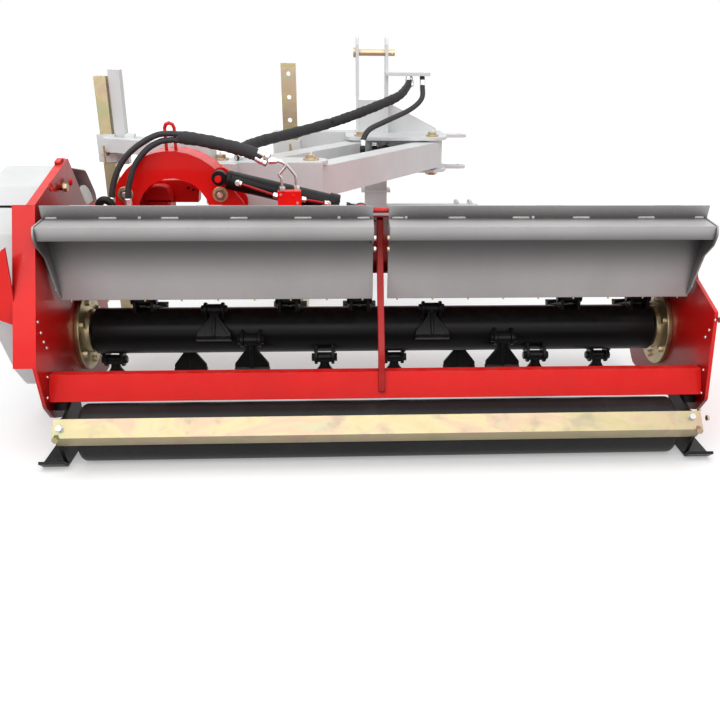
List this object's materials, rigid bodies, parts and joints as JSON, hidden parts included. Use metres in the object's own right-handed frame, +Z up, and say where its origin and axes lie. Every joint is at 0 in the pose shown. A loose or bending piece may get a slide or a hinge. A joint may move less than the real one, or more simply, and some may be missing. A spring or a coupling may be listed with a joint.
{
  "type": "flail mower",
  "caption": "Side-shift tractor flail mower with a red tilting deck, grey hinged hood flaps, hammer rotor, roller, parallelogram arms and headstock.",
  "frame": {"origin": "on the ground, under the middle of the machine's bounding box", "axes": "+X to the machine's right as seen in the picture, +Y towards the tractor, +Z up"},
  "size_m": [2.023, 1.7244, 1.11],
  "materials": {
    "black_steel": "satin black paint",
    "chrome": "hard chrome",
    "flap_grey": "semi-gloss grey paint",
    "grey_paint": "semi-gloss light grey paint",
    "red_paint": "gloss red paint",
    "rubber": "black rubber",
    "steel": "machined steel",
    "zinc": "yellow zinc plating"
  },
  "bodies": {
    "headstock": {"arm_pin_front_left": "zinc", "arm_pin_front_right": "zinc", "headstock_frame": "grey_paint", "hose_to_shift_cylinder": "rubber", "hose_to_tilt_cylinder": "rubber", "stand_clamp_screw": "zinc", "top_link_pin": "zinc"},
    "stand": {"stand_bar": "zinc"},
    "arm_right": {"side_arm_right": "grey_paint"},
    "arm_left": {"side_arm_left": "grey_paint"},
    "carriage": {"arch_bolt": "zinc", "arm_pin_rear_left": "zinc", "arm_pin_rear_right": "zinc", "carriage": "grey_paint", "hose_over_arch": "rubber", "leg_clamp_screw": "zinc", "tilt_arch": "red_paint", "tilt_pin": "zinc"},
    "leg": {"parking_leg": "zinc"},
    "shift_barrel": {"shift_cylinder_barrel": "black_steel"},
    "shift_rod": {"shift_cylinder_rod": "chrome"},
    "deck": {"bearing_flange_left": "zinc", "bearing_flange_right": "zinc", "belt_cover": "grey_paint", "centre_stay": "red_paint", "deck_shell": "red_paint", "drive_belts": "rubber", "gearbox": "red_paint", "rear_cross_bar": "red_paint", "roller_bracket_left": "black_steel", "roller_bracket_right": "black_steel", "scraper_bar": "zinc", "side_plate_left": "red_paint", "side_plate_right": "red_paint"},
    "tilt_barrel": {"check_valve": "red_paint", "tilt_cylinder_barrel": "black_steel"},
    "tilt_rod": {"tilt_cylinder_rod": "chrome"},
    "rotor": {"driven_pulley": "steel", "rotor": "black_steel"},
    "cross_shaft": {"drive_pulley": "steel"},
    "input_shaft": {"input_shaft": "steel"},
    "roller": {"roller": "black_steel"},
    "flap_left": {"hood_flap_left": "flap_grey"},
    "flap_right": {"hood_flap_right": "flap_grey"},
    "hammer_01": {"hammer_01": "black_steel"},
    "hammer_02": {"hammer_02": "black_steel"},
    "hammer_03": {"hammer_03": "black_steel"},
    "hammer_04": {"hammer_04": "black_steel"},
    "hammer_05": {"hammer_05": "black_steel"},
    "hammer_06": {"hammer_06": "black_steel"},
    "hammer_07": {"hammer_07": "black_steel"},
    "hammer_08": {"hammer_08": "black_steel"},
    "hammer_09": {"hammer_09": "black_steel"},
    "hammer_10": {"hammer_10": "black_steel"},
    "hammer_11": {"hammer_11": "black_steel"},
    "hammer_12": {"hammer_12": "black_steel"},
    "hammer_13": {"hammer_13": "black_steel"},
    "hammer_14": {"hammer_14": "black_steel"},
    "hammer_15": {"hammer_15": "black_steel"},
    "hammer_16": {"hammer_16": "black_steel"}
  },
  "joints": [
    {"name": "stand_slide", "type": "slide", "parent": "headstock", "child": "stand", "axis": [0, 0, 1], "range_m": [0, 0.33]},
    {"name": "side_shift", "type": "hinge", "parent": "headstock", "child": "arm_right", "pos_m": [0.3285, 0.57225, 0.67], "axis": [0, 0, 1], "range_deg": [0, 50], "deforming": ["hose_to_tilt_cylinder", "hose_to_shift_cylinder"]},
    {"name": "left_arm_swing", "type": "hinge", "parent": "headstock", "child": "arm_left", "pos_m": [0.0385, 0.57225, 0.67], "axis": [0, 0, 1], "range_deg": [0, 50]},
    {"name": "carriage_swing", "type": "hinge", "parent": "arm_right", "child": "carriage", "pos_m": [-0.13398, -0.10489, 0.67], "axis": [0, 0, 1], "range_deg": [-50, 0]},
    {"name": "shift_cylinder_swing", "type": "hinge", "parent": "headstock", "child": "shift_barrel", "pos_m": [0.1485, 0.64225, 0.67], "axis": [0, 0, 1], "range_deg": [-1, 45]},
    {"name": "shift_cylinder_stroke", "type": "slide", "parent": "shift_barrel", "child": "shift_rod", "axis": [-0.3545, -0.935, 0], "range_m": [-0.002, 0.16]},
    {"name": "leg_slide", "type": "slide", "parent": "carriage", "child": "leg", "axis": [0, 0, 1], "range_m": [0, 0.55]},
    {"name": "deck_tilt", "type": "hinge", "parent": "carriage", "child": "deck", "pos_m": [-0.6865, -0.24275, 0.662], "axis": [0, 1, 0], "range_deg": [-4, 20], "deforming": ["hose_over_arch"]},
    {"name": "tilt_cylinder_swing", "type": "hinge", "parent": "carriage", "child": "tilt_barrel", "pos_m": [-0.3965, -0.33275, 0.718], "axis": [0, 1, 0], "range_deg": [-7, 32]},
    {"name": "tilt_cylinder_stroke", "type": "slide", "parent": "tilt_barrel", "child": "tilt_rod", "axis": [0.9738, 0, -0.2272], "range_m": [-0.014, 0.062]},
    {"name": "rotor_spin", "type": "hinge", "parent": "deck", "child": "rotor", "pos_m": [0.0735, -0.35175, 0.245], "axis": [1, 0, 0], "continuous": true},
    {"name": "cross_shaft_spin", "type": "hinge", "parent": "deck", "child": "cross_shaft", "pos_m": [-0.9065, -0.12275, 0.555], "axis": [1, 0, 0], "continuous": true},
    {"name": "input_spin", "type": "hinge", "parent": "deck", "child": "input_shaft", "pos_m": [-0.6485, -0.02275, 0.555], "axis": [0, 1, 0], "continuous": true},
    {"name": "roller_spin", "type": "hinge", "parent": "deck", "child": "roller", "pos_m": [0.0735, -0.72775, 0.08], "axis": [1, 0, 0], "continuous": true},
    {"name": "left_flap_swing", "type": "hinge", "parent": "deck", "child": "flap_left", "pos_m": [-0.3765, -0.58575, 0.672], "axis": [1, 0, 0], "range_deg": [-85, 0]},
    {"name": "right_flap_swing", "type": "hinge", "parent": "deck", "child": "flap_right", "pos_m": [0.5235, -0.58575, 0.672], "axis": [1, 0, 0], "range_deg": [-85, 0]},
    {"name": "hammer_01_swing", "type": "hinge", "parent": "rotor", "child": "hammer_01", "pos_m": [-0.7635, -0.35175, 0.147], "axis": [1, 0, 0], "range_deg": [-80, 80]},
    {"name": "hammer_02_swing", "type": "hinge", "parent": "rotor", "child": "hammer_02", "pos_m": [-0.6519, -0.35175, 0.343], "axis": [1, 0, 0], "range_deg": [0, 80]},
    {"name": "hammer_03_swing", "type": "hinge", "parent": "rotor", "child": "hammer_03", "pos_m": [-0.5403, -0.28245, 0.1757], "axis": [1, 0, 0], "range_deg": [-60, 80]},
    {"name": "hammer_04_swing", "type": "hinge", "parent": "rotor", "child": "hammer_04", "pos_m": [-0.4287, -0.40075, 0.32987], "axis": [1, 0, 0], "range_deg": [-80, 0]},
    {"name": "hammer_05_swing", "type": "hinge", "parent": "rotor", "child": "hammer_05", "pos_m": [-0.3171, -0.44975, 0.245], "axis": [1, 0, 0], "range_deg": [-80, 20]},
    {"name": "hammer_06_swing", "type": "hinge", "parent": "rotor", "child": "hammer_06", "pos_m": [-0.2055, -0.35175, 0.343], "axis": [1, 0, 0], "range_deg": [0, 80]},
    {"name": "hammer_07_swing", "type": "hinge", "parent": "rotor", "child": "hammer_07", "pos_m": [-0.0939, -0.42105, 0.1757], "axis": [1, 0, 0], "range_deg": [-80, 60]},
    {"name": "hammer_08_swing", "type": "hinge", "parent": "rotor", "child": "hammer_08", "pos_m": [0.0177, -0.35175, 0.343], "axis": [1, 0, 0], "range_deg": [0, 80]},
    {"name": "hammer_09_swing", "type": "hinge", "parent": "rotor", "child": "hammer_09", "pos_m": [0.1293, -0.35175, 0.147], "axis": [1, 0, 0], "range_deg": [-80, 80]},
    {"name": "hammer_10_swing", "type": "hinge", "parent": "rotor", "child": "hammer_10", "pos_m": [0.2409, -0.40075, 0.32987], "axis": [1, 0, 0], "range_deg": [-80, 0]},
    {"name": "hammer_11_swing", "type": "hinge", "parent": "rotor", "child": "hammer_11", "pos_m": [0.3525, -0.28245, 0.1757], "axis": [1, 0, 0], "range_deg": [-60, 80]},
    {"name": "hammer_12_swing", "type": "hinge", "parent": "rotor", "child": "hammer_12", "pos_m": [0.4641, -0.44975, 0.245], "axis": [1, 0, 0], "range_deg": [-80, 20]},
    {"name": "hammer_13_swing", "type": "hinge", "parent": "rotor", "child": "hammer_13", "pos_m": [0.5757, -0.42105, 0.1757], "axis": [1, 0, 0], "range_deg": [-80, 60]},
    {"name": "hammer_14_swing", "type": "hinge", "parent": "rotor", "child": "hammer_14", "pos_m": [0.6873, -0.35175, 0.343], "axis": [1, 0, 0], "range_deg": [0, 80]},
    {"name": "hammer_15_swing", "type": "hinge", "parent": "rotor", "child": "hammer_15", "pos_m": [0.7989, -0.35175, 0.147], "axis": [1, 0, 0], "range_deg": [-80, 80]},
    {"name": "hammer_16_swing", "type": "hinge", "parent": "rotor", "child": "hammer_16", "pos_m": [0.9105, -0.35175, 0.343], "axis": [1, 0, 0], "range_deg": [0, 80]}
  ],
  "couplings": [
    {"joint": "left_arm_swing", "follows": "side_shift", "ratio": 1},
    {"joint": "carriage_swing", "follows": "side_shift", "ratio": -1},
    {"joint": "shift_cylinder_swing", "follows": "side_shift", "ratio": 0.885},
    {"joint": "shift_cylinder_stroke", "follows": "side_shift", "m_per_rad": 0.18},
    {"joint": "tilt_cylinder_swing", "follows": "deck_tilt", "ratio": 1.52},
    {"joint": "tilt_cylinder_stroke", "follows": "deck_tilt", "m_per_rad": 0.172},
    {"joint": "cross_shaft_spin", "follows": "rotor_spin", "ratio": 0.8095},
    {"joint": "input_spin", "follows": "rotor_spin", "ratio": -0.2698}
  ]
}
